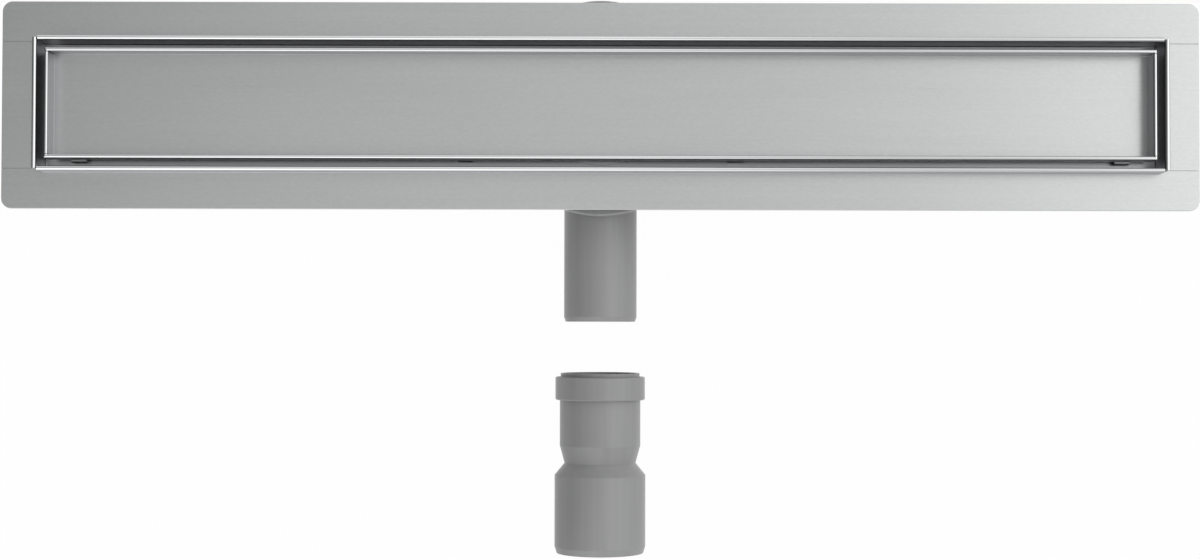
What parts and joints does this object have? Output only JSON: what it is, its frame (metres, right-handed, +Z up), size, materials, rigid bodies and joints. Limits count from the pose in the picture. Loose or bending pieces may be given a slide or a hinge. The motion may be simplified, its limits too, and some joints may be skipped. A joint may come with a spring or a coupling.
{
  "type": "linear shower drain",
  "caption": "Linear shower drain: hemmed stainless channel with a flange, a tile-in tray on bridges, a round grey trap with a side outlet, and a pipe adapter lying in line with it.",
  "frame": {"origin": "middle of the flat base of the trap bowl, on the trap's axis", "axes": "+Z up, +X along the channel, outlet spigot and adapter towards -Y"},
  "size_m": [0.6378, 0.2997, 0.077],
  "materials": {
    "brushed_steel": "satin, brushed along the channel",
    "screw_steel": "smooth",
    "grey_plastic": "satin moulded",
    "insert_plastic": "satin moulded",
    "black_rubber": "matt"
  },
  "bodies": {
    "root": {"channel_body": "brushed_steel", "tile_tray": "brushed_steel", "tray_support_1": "brushed_steel", "tray_support_2": "brushed_steel", "tray_support_3": "brushed_steel", "tray_support_4": "brushed_steel", "clamp_ring": "brushed_steel", "hair_strainer": "brushed_steel", "clamp_screws": "screw_steel", "trap_lid": "grey_plastic", "trap_bowl": "grey_plastic", "outlet_adapter": "grey_plastic", "dip_tube": "insert_plastic", "trap_cup": "insert_plastic", "floor_gasket": "black_rubber", "insert_seal": "black_rubber", "adapter_lip_seal": "black_rubber"}
  },
  "joints": []
}
